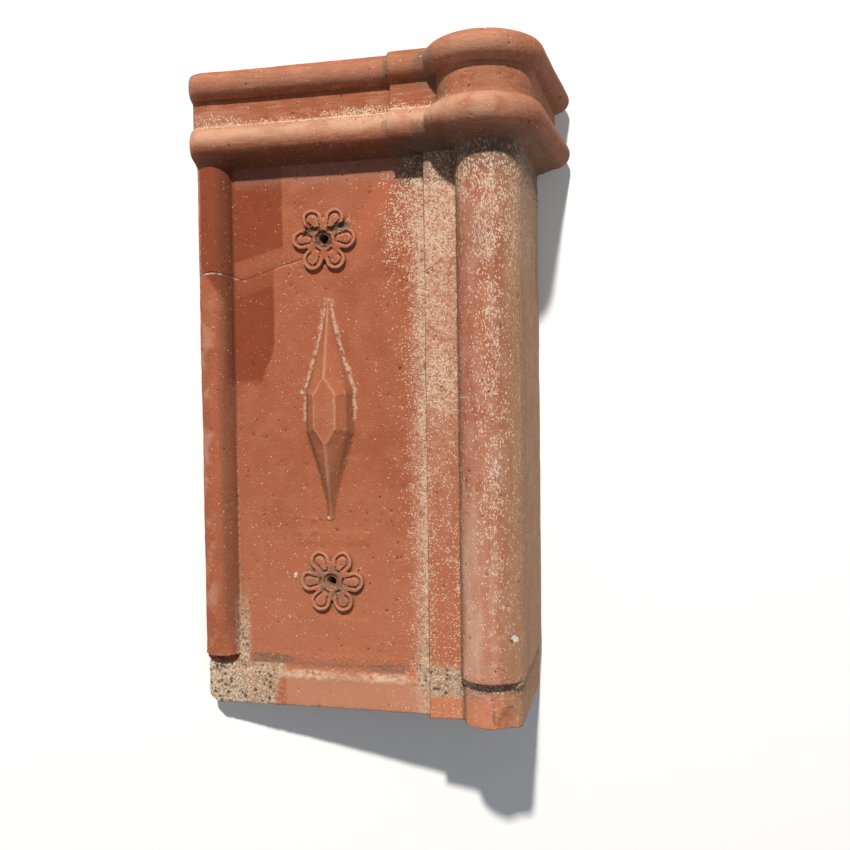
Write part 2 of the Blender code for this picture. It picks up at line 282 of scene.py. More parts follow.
# %% Crack and seams
CRACK = [(-2.0, 253.2, 1.0), (1.9, 254.2, 4.6), (5.9, 255.4, 8.0), (10.2, 255.7, 9.0), (13.8, 255.6, 8.5),
         (16.9, 255.0, 7.1), (19.4, 254.1, 4.0), (21.4, 253.3, 0.2), (25.0, 252.0, 0.0), (28.7, 251.3, 0.0),
         (33.8, 252.9, 0.0), (38.9, 255.0, 0.0), (45.8, 257.0, 0.0), (51.5, 259.1, 0.0), (56.4, 260.0, 0.0),
         (63.5, 262.0, 0.0)]
STRIP_SEAM = [(137.7, 2, 1.4), (137.7, 22, 0.6), (137.6, 60, 0), (137.8, 130, 0), (137.6, 210, 0),
              (137.7, 312, 0)]
COLLAR_SEAM = [(121.2, 339.0, 10.0), (121.0, 346.0, 10.0), (121.3, 353.0, 10.0)]


def ribbon(points, depth, width, tall=12):
    """Upright ribbon along points on the skin, sunk into it by a depth, all in millimetres."""
    bpy.ops.object.select_all(action="DESELECT")
    bpy.ops.mesh.primitive_plane_add(size=1)
    knife = bpy.context.object
    x, y, z = points[0]
    bpy.ops.object.mode_set(mode="EDIT")
    bpy.ops.mesh.merge(type="CENTER")
    bpy.ops.transform.translate(value=(x * MM, y * MM, (z - depth) * MM))
    bpy.ops.mesh.extrude_region_move(TRANSFORM_OT_translate={"value": (0, 0, tall * MM)})
    bpy.ops.mesh.select_all(action="SELECT")
    for point in points[1:]:
        step = [(b - a) * MM for a, b in zip((x, y, z), point)]
        bpy.ops.mesh.extrude_region_move(TRANSFORM_OT_translate={"value": step})
        x, y, z = point
    bpy.ops.object.mode_set(mode="OBJECT")
    finish_modifier(knife, "SOLIDIFY", thickness=width * MM, offset=0.0)
    return knife


knives += [ribbon(CRACK, depth=1.0, width=0.85), ribbon(STRIP_SEAM, depth=0.7, width=0.8),
           ribbon(COLLAR_SEAM, depth=0.8, width=0.9)]
damage = join("damage", knives)
finish_modifier(clay, "BOOLEAN", operation="DIFFERENCE", solver="EXACT", object=damage, use_self=True)
bpy.data.objects.remove(damage)
print("after the cuts:", len(clay.data.vertices), "points")

# %% [markdown]
# ## Lumps of lime and dirt
# Lime blooms, a few mortar crumbs and packed dirt stand proud of the clay. The same pebbles are laid into
# the surface, and the remesh that follows melts them into it.

# %% Lay the lumps
LUMPS = [((77.9, 111.6, 0.4), (1.2, 1.2, 0.9)), ((68.5, 110.5, 0.1), (2.2, 2.0, 0.6)),
         ((69.0, 104.1, 0.1), (1.9, 1.9, 0.6)), ((56.6, 77.5, 0.2), (1.1, 2.0, 0.9)),
         ((22.5, 30.0, 0.0), (3.0, 10.0, 1.6)), ((24.5, 41.0, 0.0), (2.6, 8.0, 1.0)),
         ((27.0, 24.0, 0.0), (7.0, 4.0, 1.3)), ((22.0, 56.0, 0.0), (1.6, 9.0, 0.8)),
         ((134.5, 27.0, 0.0), (4.0, 5.0, 1.2)), ((135.5, 40.0, 0.0), (2.4, 8.0, 0.9)),
         ((8.0, 22.0, 0.6), (7.0, 3.6, 1.5)), ((16.0, 14.0, 1.0), (6.0, 6.0, 1.2)),
         ((6.0, 10.0, 1.0), (5.0, 5.0, 1.1)), ((30.0, 9.0, 1.1), (7.0, 4.0, 0.9)),
         ((145.0, 20.0, 6.9), (5.0, 6.0, 1.2)), ((151.0, 27.0, 6.9), (4.0, 5.0, 1.1))]
lumps = [pebble(place, size, 200 + number) for number, (place, size) in enumerate(LUMPS)]
ROLL_MIDDLE = (175, 8)
SPIGOT_ROLL = (16.5, 12.0)
ROLL_LUMPS = 26
FIRST_ANGLE = 168
ANGLE_STEP = 6.1
for number in range(ROLL_LUMPS):
    angle = math.radians(FIRST_ANGLE - ANGLE_STEP * number)
    x = ROLL_MIDDLE[0] + SPIGOT_ROLL[0] * math.cos(angle)
    z = ROLL_MIDDLE[1] + SPIGOT_ROLL[1] * math.sin(angle)
    size = (dice.uniform(1.2, 2.2), dice.uniform(1.0, 2.2), dice.uniform(1.4, 2.6))
    lumps.append(pebble((x, dice.uniform(23.4, 25.2), z), size, 300 + number))
clay = join("verge_tile_clay", [clay] + lumps)
print(len(lumps), "lumps laid")

# %% [markdown]
# ## One skin, with softened arrises
# A voxel remesh makes an even, dense skin. Smoothing then rounds the arrises as frost and rain do. The
# carving, the crack and the flaked end of the roll are left out of it and stay crisp, and the joints of the
# collar are smoothed further.

# %% Remesh
VOXEL = 0.55 * MM
finish_modifier(clay, "REMESH", mode="VOXEL", voxel_size=VOXEL)
print("dense skin:", len(clay.data.polygons), "faces")


# %% Groups by place
def read_points(mesh, name):
    """Positions or normals of a mesh's points, as rows of three."""
    numbers = np.empty(len(mesh.vertices) * 3)
    mesh.vertices.foreach_get(name, numbers)
    return numbers.reshape(-1, 3)


def group_points(thing, name, chosen, weight=1.0):
    """Puts chosen points into a vertex group."""
    group = thing.vertex_groups.get(name) or thing.vertex_groups.new(name=name)
    group.add(np.nonzero(chosen)[0].tolist(), weight, "REPLACE")


def within(values, low, high):
    """True where values lie between two limits."""
    return (values > low) & (values < high)


CARVING_ACROSS = (57, 102)
LOW_ROSETTE = (53, 96)
LOZENGE = (104, 243)
HIGH_ROSETTE = (251, 294)
u, v, w = (read_points(clay.data, "co") / MM).T
carved = within(u, *CARVING_ACROSS) & (w > -2)
carved &= within(v, *LOW_ROSETTE) | within(v, *LOZENGE) | within(v, *HIGH_ROSETTE)
crack_line = np.interp(u, [p[0] for p in CRACK], [p[1] for p in CRACK])
cracked = (u < CRACK[-1][0] + 1) & (np.abs(v - crack_line) < 1.6) & (w > -3)
broken = within(u, 172, 199) & within(v, -1, 17) & (w > 4)
group_points(clay, "carved", carved)
group_points(clay, "rosettes", carved & ~within(v, *LOZENGE))
group_points(clay, "plain", ~carved & ~cracked & ~broken)
group_points(clay, "spigot_crust", within(v, -1, 24) & within(u, -1, 50) & (w > -6))
group_points(clay, "grimed", (within(v, 17, 31) & (w > -6)) | (within(v, 296, 319) & (u > 118)))
group_points(clay, "joints", (v > 317) & (within(u, 117, 127) | within(u, 146, 162)) & (w > 6))
finish_modifier(clay, "SMOOTH", factor=0.5, iterations=6, vertex_group="plain")
finish_modifier(clay, "SMOOTH", factor=0.5, iterations=30, vertex_group="joints")
print(int(carved.sum()), "points of the skin are carving")

# %% [markdown]
# ## The uneven skin
# Displace modifiers with cloud textures follow one another: slow waves from the pressing, faint dents, a
# few pits from burnt-out bits, and crusts of lichen and grime that only go up. The rosettes were finished
# by hand, so they get a small wobble sideways too.


# %% Displace the skin
def clouds(name, size, depth=2, ramp=None):
    """Cloud texture with features of a size in millimetres, through a ramp where one is given."""
    texture = bpy.data.textures.new(name, "CLOUDS")
    texture.noise_scale = size * MM
    texture.noise_depth = depth
    if ramp:
        texture.use_color_ramp = True
        texture.color_ramp.elements[0].position = ramp[0]
        texture.color_ramp.elements[1].position = ramp[1]
        texture.color_ramp.elements[0].color = (0, 0, 0, 1)
        texture.color_ramp.elements[1].color = (1, 1, 1, 1)
    return texture


def roughen(texture, height, middle=0.5, group="", way="NORMAL"):
    """Moves the skin by a texture, up to a height in millimetres, along its normals or one direction."""
    finish_modifier(clay, "DISPLACE", texture=texture, strength=height * MM, mid_level=middle,
                    texture_coords="LOCAL", vertex_group=group, direction=way)


roughen(clouds("wobble_across", size=8, depth=1), height=1.5, group="rosettes", way="X")
roughen(clouds("wobble_along", size=9, depth=1), height=1.5, group="rosettes", way="Y")
roughen(clouds("waves", size=34), height=0.9, group="plain")
roughen(clouds("dents", size=6), height=0.14)
roughen(clouds("pits", size=3.2, depth=1, ramp=(0.79, 0.88)), height=-0.5, middle=0.0)
roughen(clouds("crust", size=2.0, depth=3, ramp=(0.40, 0.70)), height=0.45, middle=0.0, group="spigot_crust")
roughen(clouds("grime", size=1.6, ramp=(0.45, 0.70)), height=0.35, middle=0.0, group="grimed")
print("skin roughened:", len(clay.data.vertices), "points")

# %% [markdown]
# ## Hollows and arrises
# Dirt gathers in hollows and painted shade darkens them, and arrises wear pale. Both show in how far each
# point lies from the mean of the points round it. That distance is measured on the even skin and kept as the
# weights of two vertex groups, because the thinning that follows carries groups along.


# %% Measure the hollows
def hollows(rounds):
    """How far each point lies under the mean of its surroundings, in millimetres."""
    points = read_points(clay.data, "co")
    edges = np.empty(len(clay.data.edges) * 2, dtype=np.int64)
    clay.data.edges.foreach_get("vertices", edges)
    one, other = edges.reshape(-1, 2).T
    count = np.bincount(np.concatenate((one, other)), minlength=len(points))
    mean = points.T.copy()
    for _ in range(rounds):
        for axis in mean:
            total = np.bincount(one, axis[other], len(points)) + np.bincount(other, axis[one], len(points))
            axis[:] = (axis + total / count) / 2
    return ((mean.T - points) * read_points(clay.data, "normal")).sum(axis=1) / MM


LEVELS = 30
HOLLOW_RANGES = {"hollow_fine": (6, -0.6, 0.6), "hollow_wide": (45, -2.0, 2.0)}
for name, (rounds, low, high) in HOLLOW_RANGES.items():
    depth = hollows(rounds)
    level = np.rint(np.clip((depth - low) / (high - low), 0, 1) * LEVELS).astype(int)
    for number in range(1, LEVELS + 1):
        group_points(clay, name, level == number, number / LEVELS)
    print(f"{name} lies between {depth.min():.2f} and {depth.max():.2f} mm")

# %% [markdown]
# ## Thinning the mesh
# Most of those faces lie on flat ground. Decimate takes them away where they matter least. Points of weight
# one go first, which are those underneath and on the bead's outer side, and the carving keeps the most.

# %% Decimate
TRIANGLES = 190000
FACING_DOWN = -0.2
u, v, w = (read_points(clay.data, "co") / MM).T
normal = read_points(clay.data, "normal")
hidden = (normal[:, 2] < FACING_DOWN) | (normal[:, 0] < -0.8)
carved = within(u, *CARVING_ACROSS) & (w > 0.3) & within(v, LOW_ROSETTE[0], HIGH_ROSETTE[1])
for chosen, weight in ((hidden, 1.0), (~hidden, 0.5), (carved & ~hidden, 0.25)):
    group_points(clay, "thin", chosen, weight)
share = TRIANGLES / (2 * len(clay.data.polygons))
finish_modifier(clay, "DECIMATE", ratio=share, vertex_group="thin", vertex_group_factor=0.00002)
print("thinned skin:", len(clay.data.polygons), "triangles")


# %% Store the hollows where the finish can read them
def store(name, values):
    """Keeps one number for each point of the mesh under a name."""
    layer = clay.data.attributes.new(name, "FLOAT", "POINT")
    layer.data.foreach_set("value", values.astype(np.float32))


for name, (rounds, low, high) in HOLLOW_RANGES.items():
    group = clay.vertex_groups[name]
    values = np.zeros(len(clay.data.vertices))
    for vertex in clay.data.vertices:
        for entry in vertex.groups:
            if entry.group == group.index:
                values[vertex.index] = entry.weight
    clay.vertex_groups.remove(group)
    store(name, low + values * (high - low))
store("underneath", (read_points(clay.data, "normal")[:, 2] < FACING_DOWN).astype(float))
set_down(clay, face_to_world)
clay.data.shade_smooth()
print("stored:", [a.name for a in clay.data.attributes if a.data_type == "FLOAT"])

# %% [markdown]
# ## Wiring the finish
# The clay's colour is a stack of coats, from the fired body up to the last lichen. Each coat is a colour
# and a mask. A mask is built from the place on the face in millimetres, from noise, and from the stored
# hollows. A few small functions keep the wiring short. A smooth step ends by itself at nothing and at full,
# so its clamp is off: the renderer would add a node for each, and a material with this many would no longer
# fit its memory.

# %% Small tools for the wiring
clay_finish = bpy.data.materials.new("weathered_clay")
clay_finish.use_nodes = True
wires = clay_finish.node_tree
shader = wires.nodes["Principled BSDF"]


def work(kind, inputs, output=0, **settings):
    """Adds one node with its settings and inputs, and returns one of its outputs."""
    node = wires.nodes.new("ShaderNode" + kind)
    for setting, value in settings.items():
        setattr(node, setting, value)
    for place, value in inputs.items():
        if isinstance(value, bpy.types.NodeSocket):
            wires.links.new(value, node.inputs[place])
        else:
            node.inputs[place].default_value = value
    return node.outputs[output]


def calc(operation, *values):
    """Result of one sum on a few numbers."""
    return work("Math", dict(enumerate(values)), operation=operation)


def both(*masks):
    """Mask that is full only where all of these are."""
    result = masks[0]
    for mask in masks[1:]:
        result = calc("MULTIPLY", result, mask)
    return result


def either(*masks):
    """Mask that is full where any of these is."""
    result = masks[0]
    for mask in masks[1:]:
        result = calc("MAXIMUM", result, mask)
    return result


def rise(value, low, high):
    """Smooth step from nothing at the first limit to full at the second."""
    return work("MapRange", {"Value": value, "From Min": low, "From Max": high},
                interpolation_type="SMOOTHSTEP", clamp=False)


def span(value, low, high, soft=1.0):
    """Mask between two limits, with soft ends."""
    return both(rise(value, low - soft, low + soft), rise(value, high + soft, high - soft))


def coat(below, above, mask):
    """Lays one colour over another where the mask is full."""
    return work("Mix", {0: mask, 6: below, 7: above}, output=2, data_type="RGBA")


# %% Place on the face
whole = work("TexCoord", {}, output=3)
placing = {"Vector": whole, "Location": origin, "Rotation": (0, -tilt, 0), "Scale": (MM, MM, MM)}
face = work("Mapping", placing, vector_type="TEXTURE")
across = work("SeparateXYZ", {0: face}, output=0)
along = across.node.outputs[1]
height = across.node.outputs[2]
hollow_fine = work("Attribute", {}, output=2, attribute_name="hollow_fine")
hollow_wide = work("Attribute", {}, output=2, attribute_name="hollow_wide")
underneath = work("Attribute", {}, output=2, attribute_name="underneath")
topside = calc("SUBTRACT", 1.0, underneath)
body = both(rise(along, 317.2, 316.0), topside)
print("face coordinates in millimetres from", origin[:])


# %% Noise fields that the masks share
def cloud(size, detail=2.0, stretch=(1, 1, 1)):
    """Noise with features of a size in millimetres, drawn out along the axes by a stretch."""
    shrunk = work("Mapping", {"Vector": face, "Scale": stretch}, vector_type="TEXTURE")
    return work("TexNoise", {"Vector": shrunk, "Scale": 1 / size, "Detail": detail})


tone = cloud(34)
tint = cloud(13, 3)
cluster = cloud(6.5, 3)
gaps = cloud(2.4, 3)
grain = cloud(0.9, 3)
streak = cloud(5, 2, (1, 7, 1))
runs = cloud(0.9, 3, (1, 9, 1))
wipes = cloud(1.5, 5, (7, 1, 1))
wide_swing = calc("SUBTRACT", cloud(10, 1), 0.5)
small_swing = calc("SUBTRACT", cloud(3.2, 2), 0.5)


SWING_GAIN = 4
SPOT_EDGE = (1.2, 0.8)
DOT_EDGE = (0.06, -0.06)


def shaky(value, reach, swing=small_swing):
    """Number that wavers by a reach either way, for an edge that isn't straight."""
    return calc("MULTIPLY_ADD", swing, SWING_GAIN * reach, value)


def cells(size, fill, stretch=(1, 1, 1)):
    """Mask of round dots of a size, one in each cell of a pattern, and a number by chance for each."""
    shrunk = work("Mapping", {"Vector": face, "Scale": stretch}, vector_type="TEXTURE")
    far = work("TexVoronoi", {"Vector": shrunk, "Scale": 1 / size}, output=0)
    chance = work("SeparateColor", {0: far.node.outputs["Color"]}, output=0)
    reach = work("SeparateColor", {0: far.node.outputs["Color"]}, output=1)
    edge = calc("MULTIPLY_ADD", reach, fill, 0.4 * fill)
    return rise(calc("SUBTRACT", far, edge), *DOT_EDGE), chance


def under(chance, share, soft=0.03):
    """Mask that is full where a number by chance lies under a share."""
    return rise(calc("SUBTRACT", chance, share), soft, -soft)


def spot(middle, reach, wobble=0.3, turned=0.0):
    """Soft-edged oval on the face, with a wavering outline."""
    cosine = math.cos(math.radians(turned))
    sine = math.sin(math.radians(turned))
    lines = []
    for slope, size in [((cosine, sine), reach[0]), ((-sine, cosine), reach[1])]:
        line = -(middle[0] * slope[0] + middle[1] * slope[1]) / size
        for place, lean in zip((across, along), slope):
            if abs(lean) > 0.001:
                line = calc("MULTIPLY_ADD", place, lean / size, line)
        lines.append(calc("POWER", calc("ABSOLUTE", line), 2.0))
    distance = calc("SQRT", calc("ADD", *lines))
    return rise(shaky(distance, wobble), *SPOT_EDGE)


print(len(wires.nodes), "nodes for the place and the noise")

# %% [markdown]
# ## The fired body
# Clay from one pit still fires unevenly. The panel is a warm red with deeper and more orange clouds. A deep
# red patch with a crisp edge lies beside the bead, where another tile covered it in the kiln. Along the
# crack the patch has flaked off and the plain red shows.

# %% Body colours
CLAY = (0.352, 0.101, 0.046, 1)
DEEP_RED = (0.290, 0.074, 0.032, 1)
ORANGE = (0.405, 0.130, 0.061, 1)
PINK_CLAY = (0.425, 0.140, 0.069, 1)
PEACH = (0.470, 0.200, 0.115, 1)
PALE_GRAIN = (0.450, 0.170, 0.090, 1)
DUSTY = (0.300, 0.180, 0.140, 1)
KILN_PATCH = (0.224, 0.043, 0.013, 1)
PALE_SWEEP = (0.405, 0.113, 0.054, 1)
colour = coat(CLAY, DEEP_RED, both(rise(tone, 0.50, 0.66), 0.60))
colour = coat(colour, ORANGE, both(rise(tint, 0.50, 0.66), 0.50))
colour = coat(colour, DEEP_RED, both(rise(grain, 0.50, 0.66), 0.55))
colour = coat(colour, PALE_GRAIN, both(rise(grain, 0.44, 0.32), 0.45))
colour = coat(colour, PINK_CLAY, both(rise(along, 160, 40), rise(across, 20, 26), 0.75))
patch_edge = calc("MULTIPLY_ADD", rise(along, 190, 215), 8.0, 38.0)
patch_edge = calc("MULTIPLY_ADD", rise(along, 255, 268), 6.0, patch_edge)
left_of_edge = rise(shaky(calc("SUBTRACT", across, patch_edge), 0.5), 0.8, -0.8)
patch_start = calc("MULTIPLY_ADD", rise(along, 262, 236), 15.0, 3.0)
right_of_start = rise(shaky(calc("SUBTRACT", across, patch_start), 0.8, wide_swing), -1.5, 2.0)
kiln_patch = both(left_of_edge, right_of_start, rise(shaky(along, 1.5), 188, 194), body)
colour = coat(colour, KILN_PATCH, both(kiln_patch, 0.95))
above_crack = calc("SUBTRACT", along, calc("MULTIPLY", across, 0.27))
crossing = both(span(above_crack, 245, 255.5, 0.8), span(across, 21.5, 62, 1.5), topside)
colour = coat(colour, CLAY, both(crossing, kiln_patch, 0.72))
below_crack = both(span(shaky(above_crack, 0.8), 235, 245, 1.5), span(across, 21.5, 62, 1.5), kiln_patch)
colour = coat(colour, CLAY, both(below_crack, 0.38))
pale_sweep = either(spot((108, 288), (21, 6.5), 0.15, 63), both(spot((96, 262), (16, 5), 0.2, 40), 0.4))
colour = coat(colour, PALE_SWEEP, both(pale_sweep, 0.9, body))
on_band = both(rise(along, 20.5, 18.5), span(across, 50, 138, 0.8), topside)
colour = coat(colour, PEACH, both(on_band, 0.9))
panel_top = both(rise(shaky(along, 1.5), 302, 309), rise(along, 317, 315), rise(across, 20, 24), topside)
colour = coat(colour, DUSTY, both(panel_top, 0.35))
on_lozenge = both(span(across, 61, 97), span(along, 108, 239), rise(height, 0.5, 3.0), topside)
colour = coat(colour, PINK_CLAY, both(on_lozenge, 0.45))
print("body coats wired")

# %% [markdown]
# ## Bloom
# Salts and dust leave a thin pale film. It is thickest on the roll, where it runs in streaks and gathers in
# white blots, and thinner on the strip and the spigot. Pale dust lies by the step and on the strip.

# %% Bloom
BLOOM = (0.560, 0.360, 0.260, 1)
PINK_BLOOM = (0.590, 0.380, 0.285, 1)
WHITE_BLOOM = (0.560, 0.480, 0.400, 1)
STEP_EDGE = (138.3, 137.4)
on_roll = both(rise(across, 156.5, 159), body)
on_strip = both(span(across, 138.5, 156.5, 0.6), body)
on_collar = both(rise(along, 316.0, 317.2), topside)
on_spigot = both(rise(shaky(along, 0.8), 20.5, 17.5), rise(across, 137, 139), topside)
low_roll = both(on_roll, rise(along, 170, 60), rise(across, 186, 164))
BLOOM_WEIGHTS = [(on_roll, 0.18), (both(on_strip, rise(along, 40, 130)), 0.08), (on_spigot, 0.05)]
film = 0.02
for mask, weight in BLOOM_WEIGHTS:
    film = calc("MULTIPLY_ADD", mask, weight, film)
thickness = calc("MULTIPLY_ADD", rise(streak, 0.36, 0.66), 0.8, 0.3)
thickness = calc("MULTIPLY_ADD", rise(tint, 0.36, 0.66), 0.6, thickness)
colour = coat(colour, BLOOM, calc("MINIMUM", both(film, thickness), 0.7))
colour = coat(colour, PINK_BLOOM, both(low_roll, calc("MULTIPLY_ADD", rise(streak, 0.3, 0.7), 0.3, 0.25)))
flecks = cloud(0.7, 3, (1, 3.5, 1))
white_spots = either(spot((174.5, 268), (5, 13), 0.5), spot((180, 197), (2.5, 11), 0.5),
                     spot((181, 140), (2.5, 12), 0.5),
                     both(span(shaky(across, 2), 176, 183, 2), rise(cluster, 0.50, 0.60), 0.8))
colour = coat(colour, WHITE_BLOOM, both(white_spots, on_roll, rise(flecks, 0.46, 0.58), 0.55))
PALE_DUST_AND_HIGHLIGHT = (0.620, 0.430, 0.300, 1)
dusty_step = both(rise(shaky(across, 1.8, wide_swing), 124, 134), rise(across, *STEP_EDGE), body)
dusty_strip = both(on_strip, rise(shaky(along, 6, wide_swing), 90, 230))
colour = coat(colour, PALE_DUST_AND_HIGHLIGHT, both(either(dusty_step, dusty_strip), rise(gaps, 0.30, 0.62), 0.42))
colour = coat(colour, ORANGE, both(on_spigot, rise(gaps, 0.40, 0.60), 0.6))
print("bloom wired")

# %% [markdown]
# ## The collar
# The collar lay highest and was handled most, so its mouldings are wiped across in brown and beige. Their
# tops are pale with dust, and the top of the lower moulding and the upper sides of the rings on the roll
# carry a painted highlight where the lamp falls. The underside of the lower moulding is darkened with
# painted shade.

# %% Collar
BROWN_WIPES_AND_SHADE = (0.230, 0.098, 0.048, 1)
WIPED_BEIGE = (0.470, 0.245, 0.150, 1)
LIT_BEIGE = (0.600, 0.345, 0.220, 1)
MOULDING_SHADE = (0.120, 0.050, 0.024, 1)
off_roll = rise(across, 165, 150)
colour = coat(colour, BROWN_WIPES_AND_SHADE, both(on_collar, rise(wipes, 0.46, 0.62), 0.50))
colour = coat(colour, WIPED_BEIGE, both(on_collar, rise(wipes, 0.52, 0.36), rise(tint, 0.38, 0.60), 0.35))
# Pale dust and a painted highlight on the lit top of the lower moulding.
lower_top = both(span(shaky(along, 0.8), 327.5, 337, 4), off_roll, on_collar)
colour = coat(colour, LIT_BEIGE, both(lower_top, calc("MULTIPLY_ADD", rise(tint, 0.40, 0.62), -0.35, 0.78)))
upper_top = both(span(shaky(along, 0.8), 356, 366, 2), off_roll, on_collar)
colour = coat(colour, WIPED_BEIGE, both(upper_top, 0.35))
# Painted shade under the lower moulding.
lower_under = both(span(shaky(along, 0.8), 312, 322.5, 2), off_roll, on_collar)
colour = coat(colour, MOULDING_SHADE, both(lower_under, 0.55))
recess_left = both(span(across, -2, 34, 14), span(along, 337, 348, 1), on_collar)
colour = coat(colour, WIPED_BEIGE, both(recess_left, 0.35))
on_collar_roll = both(rise(across, 150, 165), on_collar)
colour = coat(colour, WIPED_BEIGE, both(on_collar_roll, rise(tint, 0.62, 0.40), 0.30))
# Painted highlight on the upper sides of the rings on the roll, where the lamp falls.
ring_tops = both(on_collar_roll, either(span(along, 323, 338, 4), both(span(along, 352, 366, 4), 0.7)))
colour = coat(colour, LIT_BEIGE, both(ring_tops, rise(across, 206, 180), rise(tint, 0.30, 0.56), 0.55))
print("collar wired")

# %% [markdown]
# ## Worn arrises and fresh breaks
# Where an arris is rubbed, the paler inside of the clay shows, and a recent break is bright orange. The low
# facets and the lower end of the lozenge, which face away from the lamp, are made browner than the high ones
# as painted shade.

# %% Wear
RUBBED = (0.500, 0.240, 0.145, 1)
FRESH = (0.540, 0.195, 0.095, 1)
LIME_LUMP = (0.760, 0.680, 0.600, 1)
colour = coat(colour, RUBBED, both(rise(hollow_fine, -0.04, -0.22), 0.75))
rail = calc("MULTIPLY_ADD", rise(along, 195, 205), -0.35, 0.60)
colour = coat(colour, RUBBED, both(on_lozenge, rise(hollow_fine, -0.015, -0.07), rail))
# Painted shade on the low facets and the lower end of the lozenge.
low_facets = both(on_lozenge, rise(height, 6.2, 5.4), rise(along, 204, 192))
colour = coat(colour, BROWN_WIPES_AND_SHADE, both(low_facets, 0.45))
lower_end = both(on_lozenge, rise(along, 158, 152))
colour = coat(colour, BROWN_WIPES_AND_SHADE, both(lower_end, 0.22))
fresh = either(both(rise(shaky(along, 1.0), 15.5, 12.5), span(across, 139, 192, 1.5)),
               both(spot((188.5, 322.5), (7, 1.6), 0.2), 0.8))
colour = coat(colour, FRESH, both(fresh, 0.75, topside))
colour = coat(colour, DEEP_RED, both(spot((186, 4), (8, 6), 0.15), rise(gaps, 0.40, 0.60), 0.45, topside))
print("wear wired")

# %% [markdown]
# ## Dirt and painted shade
# Brown dirt and painted shade sit in every hollow. Dirt and painted shadow darken the upper nail hole and
# the broken grooves beside it, and dirt darkens the lower hole and the joints of the collar. Painted shade
# darkens the right side of the bead. The flank of the wing caught the rain off the roll, so it is a dull
# ochre with pale runs, and warmer lower down. Grey dirt lines the edge of the spigot's band. Grey dirt and
# painted shadow lie at the end of the roll, where the main roll's end shades the spigot, and grey painted
# shade darkens the strip, the roll and the edge of the panel in the collar's shadow.

# %% Dirt
DIRT_AND_SHADE_BROWN = (0.085, 0.050, 0.028, 1)
GREY_DIRT_AND_SHADE = (0.120, 0.098, 0.070, 1)
NEST_DIRT_AND_SHADE = (0.045, 0.036, 0.025, 1)
JOINT_DIRT = (0.185, 0.115, 0.070, 1)
FLANK_DIRT = (0.430, 0.236, 0.126, 1)
WARM_FLANK = (0.500, 0.255, 0.130, 1)
PALE_RUNS = (0.620, 0.500, 0.370, 1)
in_valley = span(across, 155.5, 161.5, 1.0)
by_rosettes = both(span(across, 57, 100), either(span(along, 54, 96), span(along, 252, 294)))
hollow_strength = calc("MULTIPLY_ADD", either(in_valley, by_rosettes), -0.40, 0.75)
# Dirt and painted shade in the hollows, weaker in the valley and on the rosettes.
colour = coat(colour, DIRT_AND_SHADE_BROWN, both(rise(hollow_fine, 0.04, 0.20), hollow_strength))
colour = coat(colour, DIRT_AND_SHADE_BROWN, both(rise(hollow_wide, 0.4, 1.4), 0.35))
flank = both(rise(shaky(across, 1.5), 181.0, 190.0), body)
colour = coat(colour, FLANK_DIRT, both(flank, calc("MULTIPLY_ADD", rise(runs, 0.42, 0.56), 0.30, 0.55)))
low_flank = both(flank, rise(shaky(height, 1.5), -2, -7))
colour = coat(colour, WARM_FLANK, both(low_flank, rise(tint, 0.66, 0.40), 0.60))
run_share = either(both(rise(across, 181, 190), 0.55), both(rise(height, -4, -9), rise(across, 185, 190)))
run_patch = calc("MULTIPLY_ADD", rise(tone, 0.44, 0.58), 0.6, 0.2)
pale_runs = both(rise(runs, 0.54, 0.66), run_share, run_patch, rise(streak, 0.40, 0.56), body)
colour = coat(colour, PALE_RUNS, both(pale_runs, 0.80))
flank_turn = both(rise(across, 177, 184), rise(across, 192, 187), body)
colour = coat(colour, BROWN_WIPES_AND_SHADE, both(flank_turn, 0.25))
collar_flank = both(rise(across, 196, 212), rise(height, 10, -14), on_collar)
colour = coat(colour, BROWN_WIPES_AND_SHADE, both(collar_flank, 0.35))
# Painted shade on the right side of the bead, which turns away from the lamp.
bead_shade = both(span(across, 14.5, 20.5, 2.5), rise(along, 24, 60), body)
colour = coat(colour, DIRT_AND_SHADE_BROWN, both(bead_shade, 0.46))
bead_rim = both(span(shaky(across, 0.6), -2, 3.2, 1.0), rise(shaky(along, 3), 236, 250), body)
colour = coat(colour, BLOOM, both(bead_rim, rise(gaps, 0.34, 0.56), 0.50))
bead_dust = both(span(across, 1, 10, 3), rise(shaky(along, 3), 250, 240), body, rise(tint, 0.46, 0.62))
colour = coat(colour, BLOOM, both(bead_dust, 0.30))
valley = both(span(shaky(across, 0.3), 156.8, 160.0, 1.0), body)
colour = coat(colour, JOINT_DIRT, both(valley, calc("MULTIPLY_ADD", rise(gaps, 0.36, 0.60), 0.35, 0.55)))
